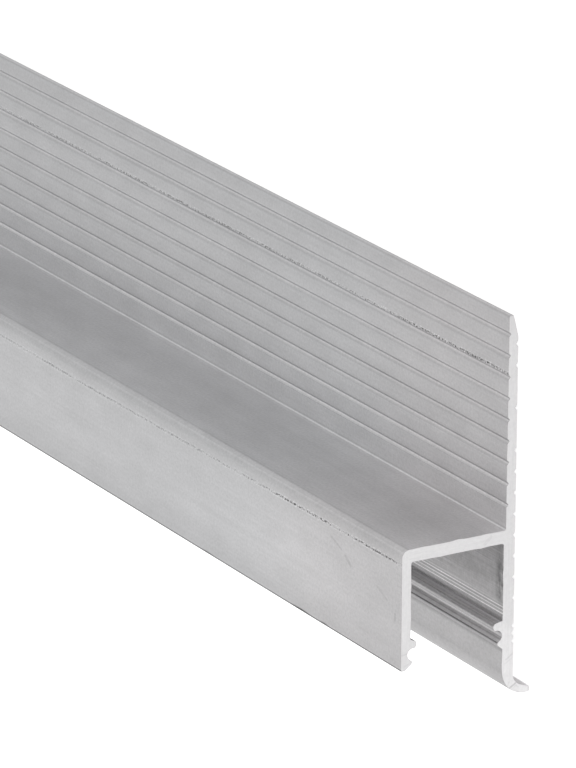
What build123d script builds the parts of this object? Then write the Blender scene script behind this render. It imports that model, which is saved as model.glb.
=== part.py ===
"""Aluminium extrusion: a finishing profile with a grooved upstand, a clip-in channel and an outturned foot.

The section is drawn as the profile stands on a wall: x runs from the front of the leg to the back of the
flange, and y runs up from the top of the shelf. The bar then lies on its back on the floor, with its length
along Y, the top of the upstand towards +X and the leg's front face upwards. Sizes are in millimetres.
"""
from build123d import *
from math import cos, radians, sin, tan
import os

# Bar
length = 1000.0

# Outer sizes of the section
depth = 17.75  # front of the leg to back of the flange
upstand = 30.2  # shelf top to top of the upstand
leg_height = 17.2  # shelf top to bottom of the leg
foot_drop = 6.75  # bottom of the leg to underside of the foot
foot_reach = 2.65  # how far the foot stands out behind the flange

# Walls
upstand_wall = 1.5
flange_wall = 1.8  # below the shelf
shelf_wall = 1.85
leg_wall = 1.5

# Back taper at the top of the upstand
taper_depth = 0.75
taper_height = 3.1

# Foot, bent out from the flange and thinning to its tip
foot_bend = 3.8  # outer radius of the bend
foot_wall = 1.12  # at the root of the lip
foot_fall = 17.0  # degrees that the lip's upper side falls towards its tip

# Slot for a clip-in cover: a hook, a round recess and a lead-in lip on each side
recess_radius = 0.85
recess_height = 2.17  # centre of the recess above the bottom of the leg
recess_in_leg = 0.425  # how deep the recess cuts into the leg
recess_off_flange = 0.075  # metal left over the flange's face behind the recess
recess_turn = 50.0  # degrees that the recess turns past its deepest point
hook_reach = 1.4  # hook nose in from the bottom of the recess
hook_nose = 1.05  # thickness of the hook at its nose
hook_round = 0.3  # how far the nose bulges
hook_slope_leg = 27.0  # degrees, upper side of the hook
hook_slope_flange = 11.0
lip_reach = 0.72  # lead-in lip in from the bottom of the recess
lip_height = 1.17  # top of the lip's blunt edge above the bottom of the leg
lip_edge = 0.35  # height of the blunt edge
lip_draft = 0.04  # how far the blunt edge leans back towards its foot
lead_in = 1.03  # depth of the sloped lead-in below the lip

# Keying grooves, V shaped, in front and, half a pitch lower, behind
groove_pitch = 3.0
groove_depth = 0.3
groove_half = 0.36  # half of the groove's width at the face
first_groove = 2.63  # below the top of the upstand
groove_margin = 3.0  # plain height kept above the shelf in front
back_margin = 2.0  # plain height kept above the hooks behind
plain_rows = (2, 4)  # rows of the back pattern that are left plain
fine_pitch = 1.1  # three closer grooves level with the recess
fine_rows = 3

# Corners
corner_round = 1.1  # outside, between leg and shelf
root_round = 0.3  # inside corners
edge_round = 0.2  # free edges
tip_round = 0.15  # edges of the foot's tip

# Places that follow from the sizes above
upstand_front = depth - upstand_wall
flange_front = depth - flange_wall
leg_bottom = -leg_height
foot_bottom = leg_bottom - foot_drop
foot_tip = depth + foot_reach
recess_leg_face = leg_wall - recess_in_leg
recess_flange_face = flange_front - recess_off_flange
slot_middle = (recess_leg_face + recess_flange_face) / 2
slot_half = (recess_flange_face - recess_leg_face) / 2
hook_under = recess_height + recess_radius
hook_top = hook_under + hook_nose


def flange_section():
    """Upstand, flange and foot, round the outline from the front top corner."""
    bend_inner = foot_bend - flange_wall
    inner_start = foot_bottom + foot_wall + bend_inner
    with BuildSketch() as flange:
        with BuildLine():
            back = Polyline(
                (upstand_front, upstand),
                (depth - taper_depth, upstand),
                (depth, upstand - taper_height),
                (depth, inner_start),
            )
            inner = JernArc(back @ 1, (0, -1), bend_inner, 90 - foot_fall)
            root = inner @ 1
            tip_top = root.Y - (foot_tip - root.X) * tan(radians(foot_fall))
            lip = Polyline(root, (foot_tip, tip_top), (foot_tip, foot_bottom), (flange_front + foot_bend, foot_bottom))
            outer = JernArc(lip @ 1, (-1, 0), foot_bend, -90)
            Polyline(outer @ 1, (flange_front, 0), (upstand_front, 0), (upstand_front, upstand))
        make_face()
    return flange.sketch


def clip_section(side, hook_slope):
    """Hook, recess and lead-in lip on one side of the slot, drawn outwards from the slot's middle."""

    def at(out, up):
        return (slot_middle + side * out, leg_bottom + up)

    nose_back = slot_half - hook_reach + hook_round
    hook_root = hook_top + (slot_middle - nose_back) * tan(radians(hook_slope))
    recess_middle = slot_half - recess_radius
    recess_end = at(
        recess_middle + recess_radius * cos(radians(recess_turn)),
        recess_height - recess_radius * sin(radians(recess_turn)),
    )
    lip_out = slot_half - lip_reach
    lip_back = lip_out + lip_draft
    with BuildSketch() as clip:
        with BuildLine():
            Line(at(slot_middle, hook_root), at(nose_back, hook_top))
            ThreePointArc(
                at(nose_back, hook_top),
                at(nose_back - hook_round, hook_under + hook_nose / 2),
                at(nose_back, hook_under),
            )
            Line(at(nose_back, hook_under), at(recess_middle, hook_under))
            ThreePointArc(at(recess_middle, hook_under), at(slot_half, recess_height), recess_end)
            Polyline(
                recess_end,
                at(lip_out, lip_height),
                at(lip_back, lip_height - lip_edge),
                at(lip_back + lead_in, 0),
                at(slot_middle, 0),
                at(slot_middle, hook_root),
            )
        make_face()
    return clip.sketch


def groove_rows(top, bottom, pitch):
    """Heights of the grooves from the top one down to the last above the bottom limit."""
    count = int((top - bottom) / pitch) + 1
    return [top - row * pitch for row in range(count)]


def front_grooves():
    return groove_rows(upstand - first_groove, groove_margin, groove_pitch)


def back_grooves():
    top = upstand - first_groove - groove_pitch / 2
    rows = groove_rows(top, leg_bottom + hook_top + back_margin, groove_pitch)
    wide = [y for row, y in enumerate(rows) if row not in plain_rows]
    middle = leg_bottom + recess_height
    fine = [middle + (row - (fine_rows - 1) / 2) * fine_pitch for row in range(fine_rows)]
    return wide + fine


# The whole section, as seen from the near end, on a plane that lays the bar on its back
end_plane = Plane(
    origin=(-(upstand + foot_bottom) / 2, length / 2, foot_tip),
    x_dir=(0, 0, -1),
    z_dir=(0, -1, 0),
)

with BuildPart() as aluminium_profile:
    with BuildSketch(end_plane) as section:
        add(flange_section())
        with Locations((0, 0)):
            Rectangle(upstand_front, shelf_wall, align=(Align.MIN, Align.MAX))
            Rectangle(leg_wall, leg_height - hook_top, align=(Align.MIN, Align.MAX))
        add(clip_section(-1, hook_slope_leg))
        add(clip_section(1, hook_slope_flange))

        # Rounded corners of the section, each found by its place
        corners = [
            ((0, 0), corner_round),
            ((leg_wall, -shelf_wall), root_round),
            ((flange_front, -shelf_wall), root_round),
            ((upstand_front, 0), root_round),
            ((upstand_front, upstand), edge_round),
            ((depth - taper_depth, upstand), edge_round),
            ((0, leg_bottom), edge_round),
            ((foot_tip, foot_bottom), tip_round),
        ]
        for place, radius in corners:
            fillet(section.vertices().sort_by_distance(place)[0], radius)

        # Keying grooves in both faces
        with Locations(*[(upstand_front, y) for y in front_grooves()]):
            Polygon(
                (0, groove_half), (groove_depth, 0), (0, -groove_half),
                align=None, mode=Mode.SUBTRACT,
            )
        with Locations(*[(depth, y) for y in back_grooves()]):
            Polygon(
                (0, -groove_half), (-groove_depth, 0), (0, groove_half),
                align=None, mode=Mode.SUBTRACT,
            )
    extrude(amount=length)

aluminium_profile.part.label = "aluminium_profile"

os.makedirs("parts", exist_ok=True)
export_step(aluminium_profile.part, "parts/aluminium_profile.step")
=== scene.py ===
"""Aluminium extrusion profile: the look of the bar, its floor, its light and the photograph's camera.

The section's sizes are in millimetres, with x across from the front of the leg to the back of the flange and
y up from the top of the shelf. The bar lies on its back, so y runs along the world's +X and x runs down
its Z.
"""
from itertools import pairwise
from math import atan2, ceil, cos, degrees, pi, radians, sin, tan

import bmesh
import bpy
from mathutils import Matrix, Vector, noise
from mathutils.geometry import delaunay_2d_cdt


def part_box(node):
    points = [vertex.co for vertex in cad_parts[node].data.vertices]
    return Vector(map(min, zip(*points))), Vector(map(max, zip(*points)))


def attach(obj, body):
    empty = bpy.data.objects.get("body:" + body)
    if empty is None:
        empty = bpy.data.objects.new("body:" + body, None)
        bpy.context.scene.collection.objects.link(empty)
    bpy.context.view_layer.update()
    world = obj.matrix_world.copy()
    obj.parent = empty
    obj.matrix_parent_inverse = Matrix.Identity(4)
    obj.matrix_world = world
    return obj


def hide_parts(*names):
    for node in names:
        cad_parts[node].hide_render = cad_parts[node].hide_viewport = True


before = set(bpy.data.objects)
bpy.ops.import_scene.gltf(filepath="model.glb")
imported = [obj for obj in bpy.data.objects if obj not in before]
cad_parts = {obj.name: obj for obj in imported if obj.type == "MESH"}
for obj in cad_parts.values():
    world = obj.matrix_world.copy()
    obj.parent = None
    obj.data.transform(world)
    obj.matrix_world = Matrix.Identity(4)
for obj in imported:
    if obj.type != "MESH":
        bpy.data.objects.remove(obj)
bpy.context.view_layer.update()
bar_low, bar_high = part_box("aluminium_profile")
MM = 0.001

# Outer sizes of the section
depth = 17.75
upstand = 30.2
leg_height = 17.2
foot_drop = 6.75
foot_reach = 2.65

# Walls
upstand_wall = 1.5
flange_wall = 1.8
shelf_wall = 1.85
leg_wall = 1.5

# Back taper at the top of the upstand, and the foot
taper_depth = 0.75
taper_height = 3.1
foot_bend = 3.8
foot_wall = 1.12
foot_fall = 17.0

# Slot for a clip-in cover
recess_radius = 0.85
recess_height = 2.17
recess_in_leg = 0.425
recess_off_flange = 0.075
recess_turn = 50.0
hook_reach = 1.4
hook_nose = 1.05
hook_round = 0.3
hook_slope_leg = 27.0
hook_slope_flange = 11.0
lip_reach = 0.72
lip_height = 1.17
lip_edge = 0.35
lip_draft = 0.04
lead_in = 1.03

# Keying grooves
groove_pitch = 3.0
groove_depth = 0.3
groove_half = 0.36
first_groove = 2.63
groove_margin = 3.0
back_margin = 2.0
plain_rows = (2, 4)
fine_pitch = 1.1
fine_rows = 3
groove_root = 0.06  # rounding at the bottom of a groove
groove_edge = 0.08  # rounding where a groove meets the face

# Corners
corner_round = 1.1
root_round = 0.3
edge_round = 0.2
tip_round = 0.15
small_round = 0.08  # edges of the hooks and lips

# Fineness of the mesh
arc_step = 9.0  # degrees between points of an arc
run_step = 0.45  # longest facet across the section
station_step = 50.0  # along the bar, away from its ends
tiny = 1e-5  # a run of the outline that is shorter than this is left out

# The sawn ends
end_break = 0.06  # how far the saw's edges are broken
end_rag = 0.6  # share of that break that comes and goes along the edge
rag_scale = 1.7  # how finely it does so, per mm
near_seed, far_seed = 3.0, 9.0  # so that the two ends differ
burr_length = 0.35  # how far back from the end a burr starts
burr_rise = 0.9  # share of a burr's height where the broken edge starts
burrs = [  # place on the outline, spread along it, height
    ((8.7, 0.0), 1.1, 0.13),
    ((3.2, 0.0), 1.3, 0.05),
    ((13.2, 0.0), 0.9, 0.06),
    ((12.4, -1.85), 1.1, 0.09),
    ((6.1, -1.85), 1.3, 0.05),
    ((1.5, -5.1), 1.0, 0.05),
    ((1.5, -9.6), 1.4, 0.06),
    ((15.95, -6.3), 1.2, 0.06),
    ((15.95, -19.2), 1.3, 0.05),
    ((16.25, 10.4), 1.1, 0.04),
    ((16.25, 22.8), 1.1, 0.04),
]

# The extruded finish
mill_colour = (0.590, 0.580, 0.586)  # near the end, faintly warm
far_colour = (0.583, 0.583, 0.591)  # further along, faintly cool
far_along = (15.0, 45.0)  # places along between which the first runs over to the second
mill_roughness = 0.40
mill_relief = 0.004
line_relief = 0.6  # share of that relief in the die's lines, with the rest in the grain
coarse_roughness = 0.6  # where the metal was drawn coarser, which is at the two places that follow
hook_place = ((14.6, 16.0), (-13.45, -12.75))  # top of the flange's hook, across and up
recess_place = ((15.05, 16.0), (-16.1, -15.2))  # lower side of its recess
# Painted light on the flange's hook top, which grows away from the end
hook_painted_light = 0.22  # how much lighter the hook's top is away from the end
hook_along = (1.0, 12.0)  # places along between which it grows so

# The noises that vary it: scale per mm, detail and roughness, then how strongly each shows
band_noise = (0.7, 2, 0.5)
band_tone = 0.05
line_noise = (4.5, 2, 0.5)
line_tone = 0.06
cloud_noise = (0.3, 3, 0.5)
cloud_tone = 0.11
cloud_gloss = 0.08
grain_noise = (2.4, 3, 0.7)
grain_tone = 0.22
streak_noise = (4.5, 2, 0.7)  # in the channel and the slot
streak_tone = 0.3
draw_out = 300.0  # how much longer than wide the bands and lines are
cloud_draw = 2.0
streak_draw = 50.0

# Dull smears on the flange in the channel, and the dull strip that the saw left beside the end
smear_noise = (1.3, 3, 0.7)
smear_upright = 0.6  # below 1, so that the smears are taller than long
smear_cut = (0.35, 0.65)  # from where in the noise a smear starts to where it is full
smear_tone = -0.45
smear_reach = 1.9  # how far from the end they have weakened
smear_rest = 0.2  # the share of their strength that is left there
smear_foot = (-11.5, -9.0)  # heights between which they grow to their full strength
smear_top = (-4.6, -3.8)  # heights between which they weaken again
smear_top_rest = 0.3  # the share that is left above those
dull_along = (1.25, 0.45, 0.5)  # middle, half width, soft edge
dull_tone = -0.14

# How deep into the metal, from its own face, a face's marks reach
leg_skin = (0.05, 0.3)
upstand_skin = 0.1
middle_soft = 0.05  # half of the strip inside the upstand where its front's marks end
flange_skin = 0.05
wall_soft = 0.2  # soft edge of what belongs to the whole channel or the whole shelf

# Painted light and shade along each face, for how light falls on it and what it mirrors: height or place
# across, then tone
leg_painted_light = [
    (-17.2, 0.2), (-16.97, 0.2), (-16.89, 0.93), (-16.5, 0.85), (-15.0, 0.90), (-11.0, 0.955), (-3.0, 0.92),
    (-1.8, 0.88), (-1.0, 0.79), (-0.6, 0.74), (0.0, 1.0),
]
shelf_painted_light = [
    (0.0, 0.71), (0.6, 0.78), (0.95, 0.91), (1.3, 1.10), (5.0, 1.07), (9.0, 1.05), (13.0, 1.07),
    (15.4, 1.11), (15.6, 1.15), (15.8, 1.23), (16.0, 1.12), (16.1, 0.96), (16.25, 1.0),
]
upstand_painted_light = [
    (0.0, 0.76), (0.3, 0.77), (0.5, 1.02), (2.5, 1.0), (5.0, 0.985), (8.0, 0.94), (11.0, 0.905),
    (14.0, 0.86), (20.0, 0.85), (23.0, 0.835), (29.9, 0.83), (30.05, 0.69), (30.2, 1.0),
]
flange_painted_light = [
    (-24.0, 0.85), (-21.3, 0.83), (-20.5, 0.77), (-18.5, 0.83), (-17.6, 0.85), (-17.2, 0.66),
    (-12.9, 1.15), (-12.6, 1.12), (-12.2, 0.93), (-11.2, 0.76), (-10.3, 0.89), (-7.0, 0.93),
    (-6.0, 1.08), (-4.0, 1.09),
]
# Painted shade on each groove's upper flank and painted highlight on its lower one
groove_painted_light = [  # down from a groove's middle, for the lower rows and for the upper ones
    (-1.5, 1.0, 1.0), (-0.6, 0.97, 1.0), (-0.45, 0.92, 1.06), (-0.3, 0.87, 1.21), (-0.2, 0.88, 1.10),
    (-0.05, 0.88, 0.98), (0.04, 0.86, 0.98), (0.10, 1.05, 1.19), (0.17, 0.94, 1.07), (0.24, 0.83, 0.96),
    (0.3, 0.77, 0.88), (0.42, 0.90, 0.89), (0.55, 1.01, 0.95), (0.7, 1.0, 1.0), (1.5, 1.0, 1.0),
]
groove_rise = (8.0, 22.0)  # heights between which the lower rows' tones run over to the upper ones'
groove_start = (groove_margin - 1.0, groove_margin - 0.8)  # heights between which these tones start
corner_soft = 0.1  # half of the strip on the outside corner where the leg's tones meet the shelf's
root_rise = 0.25  # height over which the shelf's tones run over to the upstand's
channel_turn = (4.0, 6.0)  # places across between which the leg's tones run over to the flange's
shelf_turn = (-1.6, -1.2)  # heights between which both give way to the shelf's
# Painted light and shade at small places of the section, for how light reaches hooks, recesses and edges
painted_place_light = [  # across the section, up the section, tone
    ((14.775, 15.8), (-13.2, -12.85), 1.33),  # top of the flange's hook
    ((15.56, 15.66), (-13.2, -12.75), 1.7),  # light lines along it
    ((15.02, 15.09), (-13.2, -12.75), 1.5),
    ((14.79, 14.87), (-13.2, -13.0), 1.15),  # dark line at its edge
    ((14.4, 14.66), (-13.5, -13.24), 1.55),  # upper half of its nose
    ((14.4, 14.775), (-14.2, -13.7), 0.71),  # lower half
    ((15.4, 15.9), (-14.95, -14.2), 0.91),  # depth of the recess
    ((15.4, 15.9), (-15.3, -15.0), 1.05),
    ((15.1, 15.7), (-15.95, -15.62), 1.7),  # lower side of the recess
    ((15.6, 15.9), (-15.58, -15.4), 1.30),
    ((15.1, 15.25), (-16.1, -15.93), 0.78),  # edge of the lead-in lip
    ((15.1, 15.9), (-17.0, -16.15), 0.74),  # lead-in
    ((17.9, 20.4), (-23.6, -22.0), 1.5),  # upper side of the foot
    ((1.3, 2.7), (-13.7, -12.2), 0.2),  # top of the leg's hook
]
place_soft = 0.08
# Fine ribs from the die, drawn only as painted highlight on their crests and painted shade between them
die_ribs_light_and_shade = [  # fine lines on the flange in the channel, above its hook: height and tone
    (-10.3, -0.06),
    (-10.53, 0.26),
    (-10.93, 0.78),
    (-11.17, -0.1),
    (-11.4, 0.66),
    (-11.62, -0.06),
    (-11.88, 0.72),
]
die_line_half = 0.05

# The two worn lines, rubbed on the leg and scored on the upstand. Each has its height at the near end and
# after its run, where its strong part fades out along the bar, its strength past that and at the end, half
# of its width, and a seed.
rub = dict(heights=(-2.05, -2.75), run=90.0, strong=(28.0, 42.0), weak=0.5, half=0.07, seed=2.0)
score = dict(heights=(22.1, 22.02), run=25.0, strong=(25.0, 29.0), weak=0.75, half=0.1, seed=5.0)
end_rise = 6.0  # how far from the end they reach their full strength
line_wander = 0.3  # how far a line wanders up and down
wander_noise = (1.1, 4, 0.8)
line_soft = 0.15
dent_noise = (2.6, 2, 0.7)  # small dark dents in the line
dent_cut = (0.61, 0.72)
dent_tone = -0.9
crowd_noise = (0.16, 2, 0.5)  # stretches where they crowd
crowd_share = 0.25
crowd_seed = 7.0
speck_noise = (5.0, 1, 0.5)  # light specks in and beside the line
speck_cut = (0.52, 0.62)
speck_tone = 0.45
speck_beside = 0.2
speck_seed = 4.0
thread_tone = -0.06  # the line itself
thread_soft = 0.2

# Other marks, and soft lighter and darker spots
patches = [  # soft spots: across, up and along, each with its reach, and tone
    ((0.0, 2.0), (-9.5, 8.0), (30.0, 24.0), 0.055),
    ((0.0, 2.0), (-9.0, 9.0), (3.0, 16.0), -0.065),
    ((9.5, 6.5), (0.0, 2.0), (11.0, 13.0), -0.05),
    ((2.0, 4.5), (0.0, 2.0), (0.0, 8.0), 0.09),
    ((15.0, 2.5), (0.0, 1.0), (0.0, 5.0), 0.10),
    ((8.0, 12.0), (0.0, 2.0), (1.0, 6.0), 0.03),
    ((12.0, 6.0), (0.0, 2.0), (33.0, 20.0), 0.035),
    ((8.0, 12.0), (0.0, 2.0), (85.0, 45.0), 0.075),
    ((16.0, 2.0), (0.8, 2.8), (13.0, 11.0), -0.07),
    ((16.25, 2.0), (17.0, 2.0), (24.0, 16.0), 0.06),
    ((16.25, 2.0), (17.0, 2.0), (95.0, 45.0), 0.05),
    ((16.25, 2.0), (6.0, 6.0), (76.0, 30.0), -0.025),
]
nick_place = ((0.0, 0.3), (-17.0, 0.35))  # dark nicks in the leg's lower edge: across and up, as above
edge_nicks = [  # along, and tone
    ((26.2, 3.6), -0.85),
    ((20.0, 1.6), -0.65),
    ((52.0, 2.0), -0.4),
]
fade_along = (35.0, 75.0)  # the metal is duller by this tone further along
fade_tone = -0.035
leg_scratches = [  # start and end as height and place along, half width, depth of tone
    ((-3.77, 18.25), (-4.78, 15.6), 0.10, 0.14),
    ((-5.45, 14.5), (-6.3, 13.2), 0.16, 0.15),
    ((-6.96, 6.44), (-8.15, 3.58), 0.10, 0.10),
    ((-9.43, 1.63), (-10.35, 1.61), 0.08, 0.25),
]

# The sawn finish
sawn_colour = (0.785, 0.778, 0.782)
sawn_roughness = 0.5
saw_relief = 0.01
cut_noise = (3.0, 3, 0.7)  # the saw's lines: scale per mm, detail, roughness
cut_length = 14.0  # how much longer they are than wide
cut_seed = 4.0  # so that the level ones differ from the upright ones
cut_tone = 0.10
cut_turn = 0.6  # width in the leg over which the lines turn level
mottle_noise = (1.6, 3, 0.7)
mottle_tone = 0.09
mottle_gloss = 0.08
# Painted light on the sawn end, lighter towards the foot, where it mirrors the floor's shade
sawn_shelf_painted_light = [(0.0, 1.015), (5.0, 1.005), (9.5, 1.03), (13.5, 1.03)]  # place across, tone
sawn_flange_painted_light = [  # height, tone
    (-24.0, 1.17), (-23.4, 1.16), (-22.0, 1.12), (-20.0, 1.14), (-14.5, 1.14), (-13.2, 1.08), (-1.0, 1.06),
    (5.0, 1.035), (17.0, 1.01), (26.0, 1.0), (29.0, 0.95), (30.2, 0.95),
]
flange_meet = 13.0  # place across from which the shelf's tones run over to the flange's
mark_soft = 0.12
saw_marks = [  # start and end on the section, half width, depth of tone
    ((17.32, -22.83), (18.19, -22.31), 0.07, 0.22),
    ((16.9, -22.62), (17.1, -21.99), 0.05, 0.08),
    ((17.84, -22.93), (18.28, -22.61), 0.04, 0.08),
    ((18.28, -22.61), (18.57, -22.95), 0.04, 0.08),
    ((17.63, -23.02), (18.86, -23.73), 0.04, 0.06),
    ((20.33, -23.3), (20.34, -23.75), 0.05, 0.25),
    ((16.6, -18.6), (17.65, -17.95), 0.08, 0.10),
    ((16.5, -19.15), (17.5, -18.55), 0.05, 0.05),
    ((13.0, -1.35), (13.9, -0.5), 0.18, 0.06),
    ((0.15, -14.88), (0.9, -14.8), 0.05, 0.10),
    ((0.5, -16.55), (1.2, -16.3), 0.06, 0.06),
]

# Floor, light and camera
floor_half = 30.0  # metres
floor_colour = (0.86, 0.86, 0.86)
floor_glow = 0.80  # what the camera sees besides the lit floor, so that it reads white
mirror_glow = 0.31  # the same for what mirrors the floor
world_light = 0.8  # what the white surroundings give to matt surfaces
photo_width, photo_height = 576, 768
sensor = 36.0
lens = 298.09
azimuth = 21.666  # degrees, as the frame's own views count them
elevation = 28.656
roll = -100.505
aim_point = (0.0, 0.17)  # on the near end's outline, at the leg's front
aim_pixel = (402.1, 550.1)  # where the photograph shows it
aim_distance = 0.8423  # metres
clip_start, clip_end = 0.05, 100.0  # metres

# Places that follow from the sizes above
upstand_front = depth - upstand_wall
flange_front = depth - flange_wall
leg_bottom = -leg_height
foot_bottom = leg_bottom - foot_drop
foot_tip = depth + foot_reach
upstand_middle = depth - upstand_wall / 2
recess_leg_face = leg_wall - recess_in_leg
recess_flange_face = flange_front - recess_off_flange
slot_middle = (recess_leg_face + recess_flange_face) / 2
slot_half = (recess_flange_face - recess_leg_face) / 2
hook_under = recess_height + recess_radius
hook_top = hook_under + hook_nose
near_facing = Vector((0, -1, 0))
far_facing = Vector((0, 1, 0))


def arc(centre, radius, start, end):
    """Points along an arc with the metal's outward normals; a clockwise arc is hollow."""
    side = 1 if end > start else -1
    steps = max(2, ceil(abs(end - start) / arc_step))
    points = []
    for step in range(steps + 1):
        angle = radians(start + (end - start) * step / steps)
        ray = Vector((cos(angle), sin(angle)))
        points.append((Vector(centre) + ray * radius, ray * side))
    return points


def rounded(before, corner, after, radius):
    """The arc that rounds a corner between two straight runs."""
    incoming = (corner - before).normalized()
    outgoing = (after - corner).normalized()
    turn = atan2(incoming.cross(outgoing), incoming.dot(outgoing))
    start = corner - incoming * radius * tan(abs(turn) / 2)
    side = 1 if turn > 0 else -1
    centre = start + Vector((-incoming.y, incoming.x)) * radius * side
    angle = degrees(atan2(start.y - centre.y, start.x - centre.x))
    return arc(centre, radius, angle, angle + degrees(turn))


def clip_side(side, hook_slope):
    """Lip, recess and hook on one side of the slot, from the lead-in up to the root of the hook."""

    def at(out, up):
        return Vector((slot_middle + side * out, leg_bottom + up))

    lip_out = slot_half - lip_reach
    lip_back = lip_out + lip_draft
    recess_middle = slot_half - recess_radius
    nose_back = slot_half - hook_reach + hook_round
    wall = leg_wall if side < 0 else flange_front
    wall_out = side * (wall - slot_middle)
    hook_root = hook_top + (wall_out - nose_back) * tan(radians(hook_slope))
    if side < 0:
        lead_foot = at(lip_back + lead_in, 0)
    else:
        lead_foot = at(wall_out, (lip_height - lip_edge) * (1 - (wall_out - lip_back) / lead_in))

    # The nose is the arc through its bulge. The recess turns from its lower end to the hook's underside.
    nose_radius = (hook_round ** 2 + (hook_nose / 2) ** 2) / (2 * hook_round)
    nose_spread = degrees(atan2(hook_nose / 2, nose_radius - hook_round))
    nose_centre = at(nose_back - hook_round + nose_radius, hook_under + hook_nose / 2)
    recess_centre = at(recess_middle, recess_height)
    if side < 0:
        recess = arc(recess_centre, recess_radius, 180 + recess_turn, 90)
        nose = arc(nose_centre, nose_radius, -nose_spread, nose_spread)
    else:
        recess = arc(recess_centre, recess_radius, 90, -recess_turn)
        nose = arc(nose_centre, nose_radius, 180 - nose_spread, 180 + nose_spread)
    shapes = [
        (lead_foot, small_round),
        (at(lip_back, lip_height - lip_edge), small_round),
        (at(lip_out, lip_height), small_round),
        recess,
        nose,
        (at(wall_out, hook_root), small_round),
    ]
    return shapes if side < 0 else shapes[::-1]


def groove(face, inward, height, direction):
    """A V groove's corners. inward is +1 or -1 along x into the metal, direction -1 walks it downwards."""
    return [
        (Vector((face, height - direction * groove_half)), groove_edge),
        (Vector((face + inward * groove_depth, height)), groove_root),
        (Vector((face, height + direction * groove_half)), groove_edge),
    ]


def groove_rows(top, bottom, pitch):
    """Heights of the grooves from the top one down to the last above the bottom limit."""
    count = int((top - bottom) / pitch) + 1
    return [top - row * pitch for row in range(count)]


def front_grooves():
    return groove_rows(upstand - first_groove, groove_margin, groove_pitch)


def back_grooves():
    top = upstand - first_groove - groove_pitch / 2
    rows = groove_rows(top, leg_bottom + hook_top + back_margin, groove_pitch)
    wide = [y for row, y in enumerate(rows) if row not in plain_rows]
    middle = leg_bottom + recess_height
    fine = [middle + (row - (fine_rows - 1) / 2) * fine_pitch for row in range(fine_rows)]
    return wide + fine


def section_shapes():
    """The outline's corners, each with its rounding, and its own arcs, with the metal on the left."""
    lip_fall = tan(radians(foot_fall))
    inner_bend = foot_bend - flange_wall
    root_out = depth + inner_bend * (1 - sin(radians(foot_fall)))
    root_up = foot_bottom + foot_wall + inner_bend * (1 - cos(radians(foot_fall)))
    tip_top = root_up - (foot_tip - root_out) * lip_fall
    shapes = [
        (Vector((0, 0)), corner_round),
        (Vector((0, leg_bottom)), edge_round),
        *clip_side(-1, hook_slope_leg),
        (Vector((leg_wall, -shelf_wall)), root_round),
        (Vector((flange_front, -shelf_wall)), root_round),
        *clip_side(1, hook_slope_flange),
        (Vector((flange_front, foot_bottom)), foot_bend),
        (Vector((foot_tip, foot_bottom)), tip_round),
        (Vector((foot_tip, tip_top)), small_round),
        (Vector((depth, tip_top + foot_reach * lip_fall)), inner_bend),
    ]
    for height in sorted(back_grooves()):
        shapes += groove(depth, -1, height, 1)
    shapes += [
        (Vector((depth, upstand - taper_height)), 0),
        (Vector((depth - taper_depth, upstand)), edge_round),
        (Vector((upstand_front, upstand)), edge_round),
    ]
    for height in front_grooves():
        shapes += groove(upstand_front, 1, height, -1)
    shapes.append((Vector((upstand_front, 0)), root_round))
    return shapes


def shape_ends(shape):
    """Where the outline enters and leaves a shape, before any rounding."""
    if isinstance(shape, list):
        return shape[0][0], shape[-1][0]
    return shape[0], shape[0]


def section_facets():
    """The outline as facets: start, normal there, end, normal there."""
    shapes = section_shapes()
    curves = []
    for index, shape in enumerate(shapes):
        if isinstance(shape, list):
            curves.append(shape)
            continue
        corner, radius = shape
        before = shape_ends(shapes[index - 1])[1]
        after = shape_ends(shapes[(index + 1) % len(shapes)])[0]
        curves.append(rounded(before, corner, after, radius) if radius else [(corner, None)])
    facets = []
    for curve, following in zip(curves, curves[1:] + curves[:1]):
        facets += [(a, a_normal, b, b_normal) for (a, a_normal), (b, b_normal) in pairwise(curve)]
        start, end = curve[-1][0], following[0][0]
        run = end - start
        if run.length < tiny:
            continue
        normal = Vector((run.y, -run.x)).normalized()
        steps = ceil(run.length / run_step)
        stops = [start + run * step / steps for step in range(steps + 1)]
        facets += [(a, normal, b, normal) for a, b in pairwise(stops)]
    return facets


def in_world(point, along):
    """A point of the section, along the bar, in metres."""
    return Vector((bar_low.x + (point.y - foot_bottom) * MM, along, bar_high.z - point.x * MM))


def normal_in_world(normal):
    return Vector((normal.y, 0, -normal.x))


def edge_moves(facets):
    """For each corner of the outline, the move outwards that offsets both of its sides by 1."""
    moves = []
    for (_, _, _, before), (_, after, _, _) in zip([facets[-1]] + facets[:-1], facets):
        moves.append((before + after) / (1 + before.dot(after)))
    return moves


def saw_rag(point, seed):
    """How far the saw broke this place of the edge, in mm, between a share of the break and all of it."""
    wander = noise.noise(Vector((point.x * rag_scale, point.y * rag_scale, seed)))
    return end_break * (1 - end_rag * (0.5 + 0.5 * wander))


def saw_burr(point):
    """How far the saw pushed metal out over the edge, in mm, at the few places where it did."""
    push = 0.0
    for place, spread, height in burrs:
        away = min(1.0, (point - Vector(place)).length / spread)
        push += height * (0.5 + 0.5 * cos(pi * away))
    return push


def bar_stations():
    """Places along the bar in metres, with the share of the ragged break and of the burrs at each."""
    near, far = bar_low.y, bar_high.y
    count = round((far - near) / (station_step * MM))
    middle = [near + (far - near) * step / count for step in range(1, count)]
    break_y, burr_y = end_break * MM, burr_length * MM
    near_end = [(near, 1, 1), (near + break_y, 0, burr_rise), (near + burr_y, 0, 0)]
    far_end = [(far - burr_y, 0, 0), (far - break_y, 0, burr_rise), (far, 1, 1)]
    return near_end + [(y, 0, 0) for y in middle] + far_end


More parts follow.
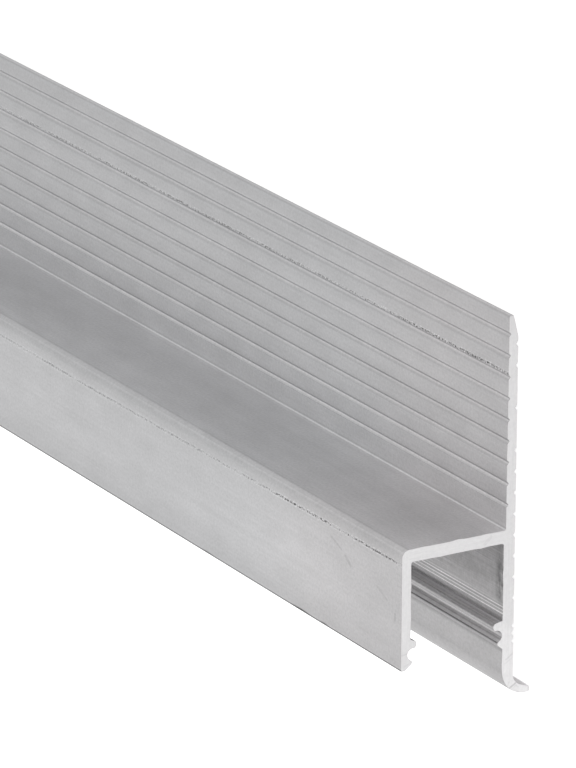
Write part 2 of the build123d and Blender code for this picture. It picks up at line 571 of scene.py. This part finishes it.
def bar_rings(facets, stations):
    """The outline at each station, in mm on the section, with the saw's break and burrs at both ends."""
    corners = [start for start, _, _, _ in facets]
    moves = edge_moves(facets)
    rings = []
    for index, (_, broken, burred) in enumerate(stations):
        seed = near_seed if index < len(stations) / 2 else far_seed
        ring = []
        for corner, move in zip(corners, moves):
            inset = broken * saw_rag(corner, seed)
            ring.append(corner - move * (inset - burred * saw_burr(corner)))
        rings.append(ring)
    return rings


def drawn_sides(facets, ring_count):
    """The faces between the rings and their corners' normals, which turn along the bar at its two ends."""
    count = len(facets)
    faces = []
    normals = []
    for ring in range(ring_count - 1):
        near, far = ring * count, (ring + 1) * count
        for index, (_, start_normal, _, end_normal) in enumerate(facets):
            after = (index + 1) % count
            faces.append((near + index, far + index, far + after, near + after))
            start_normal, end_normal = normal_in_world(start_normal), normal_in_world(end_normal)
            side = [start_normal, start_normal, end_normal, end_normal]
            if ring == 0:
                side[0] = side[3] = near_facing
            if ring == ring_count - 2:
                side[1] = side[2] = far_facing
            normals += side
    return faces, normals


def sawn_end(rings, index, facing):
    """The faces that close one ring, and their corners' normals."""
    count = len(rings[index])
    found = delaunay_2d_cdt(rings[index], [], [range(count)], 1, tiny)
    faces = []
    normals = []
    for face in found[2]:
        loop = [index * count + found[3][corner][0] for corner in face]
        faces.append(loop if facing.y < 0 else loop[::-1])
        normals += [facing] * len(loop)
    return faces, normals


def make_bar(mill, sawn):
    """The whole bar: its drawn sides from the outline's facets, and its two sawn ends."""
    facets = section_facets()
    stations = bar_stations()
    rings = bar_rings(facets, stations)
    points = [in_world(point, y) for ring, (y, _, _) in zip(rings, stations) for point in ring]
    faces, normals = drawn_sides(facets, len(rings))
    side_count = len(faces)
    for index, facing in ((0, near_facing), (len(rings) - 1, far_facing)):
        end_faces, end_normals = sawn_end(rings, index, facing)
        faces += end_faces
        normals += end_normals

    mesh = bpy.data.meshes.new("profile_bar")
    mesh.from_pydata(points, [], faces)
    mesh.materials.append(mill)
    mesh.materials.append(sawn)
    mesh.polygons.foreach_set("material_index", [int(n >= side_count) for n in range(len(faces))])
    mesh.polygons.foreach_set("use_smooth", [True] * len(faces))
    mesh.normals_split_custom_set(normals)
    bar = bpy.data.objects.new("profile_bar", mesh)
    bpy.context.collection.objects.link(bar)
    return bar


class Nodes:
    """Short calls for the nodes of one material or of the world."""

    def __init__(self, owner, output):
        owner.use_nodes = True
        self.owner = owner
        self.tree = owner.node_tree
        self.tree.nodes.clear()
        self.output = self.node(output)

    def node(self, kind, inputs=(), **settings):
        made = self.tree.nodes.new("ShaderNode" + kind)
        for key, value in settings.items():
            setattr(made, key, value)
        for key, value in dict(inputs).items():
            if isinstance(value, bpy.types.NodeSocket):
                self.tree.links.new(value, made.inputs[key])
            else:
                made.inputs[key].default_value = value
        return made

    def math(self, operation, *values, clamp=False):
        inputs = dict(enumerate(values))
        return self.node("Math", inputs, operation=operation, use_clamp=clamp).outputs[0]

    def vector(self, operation, *values):
        inputs = dict(enumerate(values))
        return self.node("VectorMath", inputs, operation=operation).outputs

    def spread(self, value, low, high, to_low=0.0, to_high=1.0):
        """The value, run smoothly from one range to another and held inside it."""
        inputs = {0: value, 1: low, 2: high, 3: to_low, 4: to_high}
        return self.node("MapRange", inputs, interpolation_type="SMOOTHSTEP").outputs[0]

    def noise(self, place, scale, detail, rough):
        inputs = {"Vector": place, "Scale": scale, "Detail": detail, "Roughness": rough}
        return self.node("TexNoise", inputs).outputs[0]

    def profile(self, value, stops):
        """The tone at a place along a face, straight between its stops."""
        low, high = stops[0][0], stops[-1][0]
        share = self.node("MapRange", {0: value, 1: low, 2: high}).outputs[0]
        ramp = self.node("ValToRGB", {0: share})
        elements = ramp.color_ramp.elements
        for place, _ in stops[1:-1]:
            elements.new((place - low) / (high - low))
        for stop, (_, tone) in zip(elements, stops):
            stop.color = (tone, tone, tone, 1)
        return ramp.outputs[0]

    def blend(self, first, second, share):
        """The first value, run over to the second as the share goes from 0 to 1."""
        return self.math("MULTIPLY_ADD", self.math("SUBTRACT", second, first), share, first)

    def vary(self, value, share):
        """A factor that swings about 1 by this share as the value swings about a half."""
        return self.math("MULTIPLY_ADD", self.math("SUBTRACT", value, 0.5), 2 * share, 1.0)

    def product(self, *values):
        total = values[0]
        for value in values[1:]:
            total = self.math("MULTIPLY", total, value)
        return total

    def band(self, value, middle, half, soft):
        """1 within half of the middle, falling to 0 over the soft edge."""
        away = self.math("ABSOLUTE", self.math("SUBTRACT", value, middle))
        return self.spread(away, half, half + soft, 1.0, 0.0)

    def within(self, across, up, place):
        """1 inside a place of the section, given by its ends across and up, falling to 0 at its edge."""
        bands = []
        for value, (low, high) in zip((across, up), place):
            bands.append(self.band(value, (low + high) / 2, (high - low) / 2, place_soft))
        return self.product(*bands)

    def section(self):
        """The place on the bar in mm: across the section, up the section and along from the near end."""
        place = self.node("TexCoord").outputs["Object"]
        x, y, z = self.node("SeparateXYZ", {0: place}).outputs
        across = self.math("MULTIPLY_ADD", z, -1 / MM, bar_high.z / MM)
        up = self.math("MULTIPLY_ADD", x, 1 / MM, foot_bottom - bar_low.x / MM)
        along = self.math("MULTIPLY_ADD", y, 1 / MM, -bar_low.y / MM)
        return across, up, along

    def join(self, x, y, z):
        return self.node("CombineXYZ", {0: x, 1: y, 2: z}).outputs[0]

    def drawn(self, across, up, along, draw):
        """The place, for marks that are so many times longer along the bar than wide."""
        return self.join(across, up, self.math("MULTIPLY", along, 1 / draw))

    def stroke(self, place, start, end, half, soft):
        """1 on a straight scratch between two places, falling to 0 over its soft edge."""
        start, end = Vector(start), Vector(end)
        run = end - start
        from_start = self.vector("SUBTRACT", place, start)["Vector"]
        share = self.vector("DOT_PRODUCT", from_start, run / run.length_squared)["Value"]
        share = self.math("ADD", share, 0.0, clamp=True)
        nearest = self.node("VectorMath", {0: run, "Scale": share}, operation="SCALE").outputs[0]
        away = self.vector("LENGTH", self.vector("SUBTRACT", from_start, nearest)["Vector"])["Value"]
        return self.spread(away, half, half + soft, 1.0, 0.0)

    def patch(self, place, spot):
        """1 in the middle of a soft spot, falling to 0 at its reach each way."""
        middle, reach = zip(*spot)
        off = self.vector("SUBTRACT", place, middle)["Vector"]
        off = self.vector("DIVIDE", off, reach)["Vector"]
        away = self.vector("LENGTH", off)["Value"]
        return self.spread(away, 0.0, 1.0, 1.0, 0.0)

    def tone(self, factor, mask, share):
        """The factor, with this share of it added where the mask is 1."""
        return self.math("MULTIPLY", factor, self.math("MULTIPLY_ADD", mask, share, 1.0))

    def mirrored(self, paths):
        """1 for what is seen by way of a glossy or clear surface."""
        return self.math("MAXIMUM", paths["Is Glossy Ray"], paths["Is Transmission Ray"])

    def shown(self, shader):
        """The finished owner, with this shader on its output."""
        self.tree.links.new(shader.outputs[0], self.output.inputs[0])
        return self.owner

    def metal(self, colour, shade, roughness, height, relief):
        """A metal whose colour is shaded by a factor, with a relief of so many mm from a height of 0 to 1."""
        parts = [self.math("MULTIPLY", shade, part) for part in colour]
        grey = self.node("CombineColor", enumerate(parts)).outputs[0]
        bump = self.node("Bump", {"Height": height, "Distance": relief * MM}).outputs[0]
        inputs = {"Base Color": grey, "Roughness": roughness, "Metallic": 1.0, "Normal": bump}
        return self.shown(self.node("BsdfPrincipled", inputs))


def material_nodes(name):
    return Nodes(bpy.data.materials.new(name), "OutputMaterial")


def groove_tone(nodes, across, up):
    """Painted shade and highlight in and beside each front groove."""
    down = nodes.math("SUBTRACT", upstand - first_groove, up)
    aside = nodes.math("WRAP", down, groove_pitch / 2, -groove_pitch / 2)
    lower = nodes.profile(aside, [(place, tone) for place, tone, _ in groove_painted_light])
    upper = nodes.profile(aside, [(place, tone) for place, _, tone in groove_painted_light])
    tone = nodes.blend(lower, upper, nodes.spread(up, *groove_rise))
    in_front = nodes.product(
        nodes.spread(across, upstand_middle - middle_soft, upstand_middle + middle_soft, 1.0, 0.0),
        nodes.spread(up, *groove_start),
    )
    return nodes.blend(1.0, tone, in_front)


def painted_face_light(nodes, across, up):
    """Painted light and shade at each place of the section, for how light falls on each face and what it
    mirrors.
    """
    leg = nodes.profile(up, leg_painted_light)
    shelf = nodes.profile(across, shelf_painted_light)
    upstand_face = nodes.profile(up, upstand_painted_light)
    flange = nodes.profile(up, flange_painted_light)
    past_corner = nodes.spread(nodes.math("ADD", across, up), -corner_soft, corner_soft)
    above = nodes.blend(shelf, upstand_face, nodes.spread(up, 0.0, root_rise))
    above = nodes.product(above, groove_tone(nodes, across, up))
    below = nodes.blend(leg, flange, nodes.spread(across, *channel_turn))
    tone = nodes.blend(below, above, nodes.product(past_corner, nodes.spread(up, *shelf_turn)))

    # Painted light and shade at small places, then the painted highlight and shade of the die ribs
    for *place, place_tone in painted_place_light:
        tone = nodes.blend(tone, place_tone, nodes.within(across, up, place))
    on_flange = nodes.band(across, flange_front, flange_skin, flange_skin)
    for height, share in die_ribs_light_and_shade:
        line = nodes.band(up, height, die_line_half, die_line_half)
        tone = nodes.tone(tone, nodes.product(line, on_flange), share)
    return tone


def worn_line(nodes, shade, on_face, up, along, heights, run, strong, weak, half, seed):
    """A line of small dark dents with light specks beside them, which comes and goes along the bar."""
    wander = nodes.noise(nodes.join(seed, 0.0, along), *wander_noise)
    line = nodes.math("SUBTRACT", nodes.spread(along, 0.0, run, *heights), line_wander / 2)
    line = nodes.math("MULTIPLY_ADD", wander, line_wander, line)
    off_line = nodes.math("SUBTRACT", up, line)
    by_end = nodes.spread(along, 0.0, end_rise, weak, 1.0)
    strength = nodes.product(nodes.spread(along, *strong, 1.0, weak), by_end, on_face)

    crowd = nodes.noise(nodes.join(seed, crowd_seed, along), *crowd_noise)
    dents = nodes.noise(nodes.join(seed, off_line, along), *dent_noise)
    dented = nodes.spread(nodes.math("MULTIPLY_ADD", crowd, crowd_share, dents), *dent_cut)
    on_line = nodes.band(off_line, 0.0, half, line_soft)
    shade = nodes.tone(shade, nodes.product(on_line, dented, strength), dent_tone)

    specks = nodes.noise(nodes.join(seed + speck_seed, off_line, along), *speck_noise)
    speckled = nodes.spread(specks, *speck_cut)
    beside = nodes.band(off_line, 0.0, half + speck_beside, line_soft)
    shade = nodes.tone(shade, nodes.product(beside, speckled, strength), speck_tone)
    thread = nodes.band(off_line, 0.0, half / 2, thread_soft)
    return nodes.tone(shade, nodes.product(thread, strength), thread_tone)


def channel_marks(nodes, shade, across, up, along, inside):
    """Streaks inside the channel and the slot, and the saw's smears on the flange beside the end."""
    streaks = nodes.noise(nodes.drawn(across, up, along, streak_draw), *streak_noise)
    shade = nodes.product(shade, nodes.blend(1.0, nodes.vary(streaks, streak_tone), inside))
    smear_place = nodes.join(across, nodes.math("MULTIPLY", up, smear_upright), along)
    smears = nodes.spread(nodes.noise(smear_place, *smear_noise), *smear_cut)
    by_end = nodes.spread(along, smear_reach / 2, smear_reach, 1.0, smear_rest)
    on_flange = nodes.product(
        nodes.band(across, flange_front, flange_skin, flange_skin),
        nodes.spread(up, *smear_foot),
        nodes.spread(up, *smear_top, 1.0, smear_top_rest),
    )
    shade = nodes.tone(shade, nodes.product(smears, by_end, on_flange, inside), smear_tone)
    dulled = nodes.product(nodes.band(along, *dull_along), on_flange, inside)
    return nodes.tone(shade, dulled, dull_tone)


def handling_marks(nodes, shade, across, up, along):
    """Soft patches, nicks in the leg's lower edge, the two worn lines and the scratches on the leg."""
    shade = nodes.tone(shade, nodes.spread(along, *fade_along), fade_tone)
    place = nodes.join(across, up, along)
    nicks = [(*nick_place, nick_along, share) for nick_along, share in edge_nicks]
    for *spot, share in patches + nicks:
        shade = nodes.tone(shade, nodes.patch(place, spot), share)
    on_leg = nodes.spread(across, *leg_skin, 1.0, 0.0)
    on_upstand = nodes.band(across, upstand_front, upstand_skin, upstand_skin)
    shade = worn_line(nodes, shade, on_leg, up, along, **rub)
    shade = worn_line(nodes, shade, on_upstand, up, along, **score)
    leg_place = nodes.join(0.0, up, along)
    for start, end, half, share in leg_scratches:
        mark = nodes.stroke(leg_place, (0, *start), (0, *end), half, half)
        shade = nodes.tone(shade, nodes.product(mark, on_leg), -share)
    return shade


def mill_finish():
    """The extruded surface: satin grey with painted light and shade on each face, drawn out along the bar,
    with faint clouds and marks of handling.
    """
    nodes = material_nodes("mill_aluminium")
    across, up, along = nodes.section()

    # Painted light and shade on each face, bands and fine lines from the die, clouds where the metal was
    # handled, and a close grain
    drawn = nodes.drawn(across, up, along, draw_out)
    bands = nodes.noise(drawn, *band_noise)
    lines = nodes.noise(drawn, *line_noise)
    clouds = nodes.noise(nodes.drawn(across, up, along, cloud_draw), *cloud_noise)
    grain = nodes.noise(nodes.join(across, up, along), *grain_noise)
    shade = nodes.product(
        painted_face_light(nodes, across, up),
        nodes.vary(bands, band_tone),
        nodes.vary(lines, line_tone),
        nodes.vary(clouds, cloud_tone),
        nodes.vary(grain, grain_tone),
    )
    inside = nodes.product(
        nodes.spread(across, leg_wall - wall_soft, leg_wall),
        nodes.spread(across, flange_front, flange_front + wall_soft, 1.0, 0.0),
        nodes.spread(up, leg_bottom, leg_bottom + wall_soft),
        nodes.spread(up, -shelf_wall - wall_soft, -shelf_wall, 1.0, 0.0),
    )

    # The clouds change the gloss outside the channel, and the flange's hook and recess are coarser
    cloudy = nodes.spread(inside, 0.0, 1.0, cloud_gloss, 0.0)
    gloss = nodes.product(nodes.math("SUBTRACT", clouds, 0.5), cloudy)
    on_hook = nodes.within(across, up, hook_place)
    coarse = nodes.math("MAXIMUM", on_hook, nodes.within(across, up, recess_place))
    roughness = nodes.blend(nodes.math("ADD", gloss, mill_roughness), coarse_roughness, coarse)

    # Painted light on the flange's hook top, growing away from the end
    shade = nodes.tone(shade, nodes.product(on_hook, nodes.spread(along, *hook_along)), hook_painted_light)
    shade = channel_marks(nodes, shade, across, up, along, inside)
    shade = handling_marks(nodes, shade, across, up, along)
    height = nodes.math("MULTIPLY", grain, 1 - line_relief)
    height = nodes.math("MULTIPLY_ADD", lines, line_relief, height)
    far = nodes.spread(along, *far_along)
    colour = [nodes.blend(near, away, far) for near, away in zip(mill_colour, far_colour)]
    return nodes.metal(colour, shade, roughness, height, mill_relief)


def sawn_finish():
    """The saw's bright cut: fine lines along each wall, a few deeper marks and a soft mottle."""
    nodes = material_nodes("sawn_aluminium")
    across, up, _ = nodes.section()
    upright = nodes.join(across, nodes.math("MULTIPLY", up, 1 / cut_length), 0.0)
    level = nodes.join(nodes.math("MULTIPLY", across, 1 / cut_length), up, cut_seed)
    on_shelf = nodes.product(
        nodes.spread(across, leg_wall - cut_turn, leg_wall),
        nodes.spread(across, flange_front, upstand_front, 1.0, 0.0),
        nodes.band(up, 0.0, shelf_wall, wall_soft),
    )
    cuts = nodes.blend(nodes.noise(upright, *cut_noise), nodes.noise(level, *cut_noise), on_shelf)
    flat = nodes.join(across, up, 0.0)
    mottle = nodes.noise(flat, *mottle_noise)
    # Painted light on the cut, lighter towards the foot
    shelf = nodes.profile(across, sawn_shelf_painted_light)
    flange = nodes.profile(up, sawn_flange_painted_light)
    tone = nodes.blend(shelf, flange, nodes.spread(across, flange_meet, upstand_front))
    shade = nodes.product(tone, nodes.vary(cuts, cut_tone), nodes.vary(mottle, mottle_tone))
    for start, end, half, share in saw_marks:
        mark = nodes.stroke(flat, (*start, 0), (*end, 0), half, mark_soft)
        shade = nodes.tone(shade, mark, -share)
    roughness = nodes.math("MULTIPLY_ADD", mottle, mottle_gloss, sawn_roughness - mottle_gloss / 2)
    return nodes.metal(sawn_colour, shade, roughness, cuts, saw_relief)


def make_floor():
    """A wide pale floor under the bar, white to the eye but for the bar's own shadow."""
    plane = bmesh.new()
    corners = ((-1, -1), (1, -1), (1, 1), (-1, 1))
    plane.faces.new([plane.verts.new((x * floor_half, y * floor_half, 0)) for x, y in corners])
    mesh = bpy.data.meshes.new("floor")
    plane.to_mesh(mesh)
    plane.free()
    floor = bpy.data.objects.new("floor", mesh)
    bpy.context.collection.objects.link(floor)

    nodes = material_nodes("floor_white")
    paths = nodes.node("LightPath").outputs
    to_camera = nodes.math("MULTIPLY", paths["Is Camera Ray"], floor_glow)
    strength = nodes.math("MULTIPLY_ADD", nodes.mirrored(paths), mirror_glow, to_camera)
    glow = nodes.node("Emission", {"Strength": strength})
    lit = nodes.node("BsdfDiffuse", {"Color": (*floor_colour, 1)})
    both = nodes.node("AddShader", {0: lit.outputs[0], 1: glow.outputs[0]})
    mesh.materials.append(nodes.shown(both))


def make_world():
    """Even white surroundings, at full white where they are seen straight or by a mirror."""
    nodes = Nodes(bpy.data.worlds.new("white_surroundings"), "OutputWorld")
    paths = nodes.node("LightPath").outputs
    seen = nodes.math("MAXIMUM", paths["Is Camera Ray"], nodes.mirrored(paths))
    strength = nodes.math("MULTIPLY_ADD", seen, 1 - world_light, world_light)
    light = nodes.node("Background", {"Color": (1, 1, 1, 1), "Strength": strength})
    bpy.context.scene.world = nodes.shown(light)


def make_camera():
    """The photograph's camera, rolled so that the lying bar's upstand stands up in the frame."""
    aside, down = radians(azimuth), radians(elevation)
    forward = Vector((-sin(aside) * cos(down), cos(aside) * cos(down), -sin(down)))
    rolled = Matrix.Rotation(radians(roll), 3, "Z")
    turn = forward.to_track_quat("-Z", "Y").to_matrix() @ rolled
    right, up, _ = turn.transposed()
    focal = lens / sensor * photo_height
    off_right = (aim_pixel[0] - photo_width / 2) / focal * aim_distance
    off_down = (aim_pixel[1] - photo_height / 2) / focal * aim_distance
    aim = in_world(Vector(aim_point), bar_low.y)
    camera = bpy.data.objects.new("camera", bpy.data.cameras.new("camera"))
    camera.data.lens = lens
    camera.data.sensor_width = sensor
    camera.data.clip_start = clip_start
    camera.data.clip_end = clip_end
    camera.rotation_mode = "QUATERNION"
    camera.rotation_quaternion = turn.to_quaternion()
    camera.location = aim - right * off_right + up * off_down - forward * aim_distance
    bpy.context.collection.objects.link(camera)
    bpy.context.scene.camera = camera


bpy.context.scene.view_settings.view_transform = "Standard"
make_camera()
make_world()
make_floor()
bar = make_bar(mill_finish(), sawn_finish())
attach(bar, "root")
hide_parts("aluminium_profile")
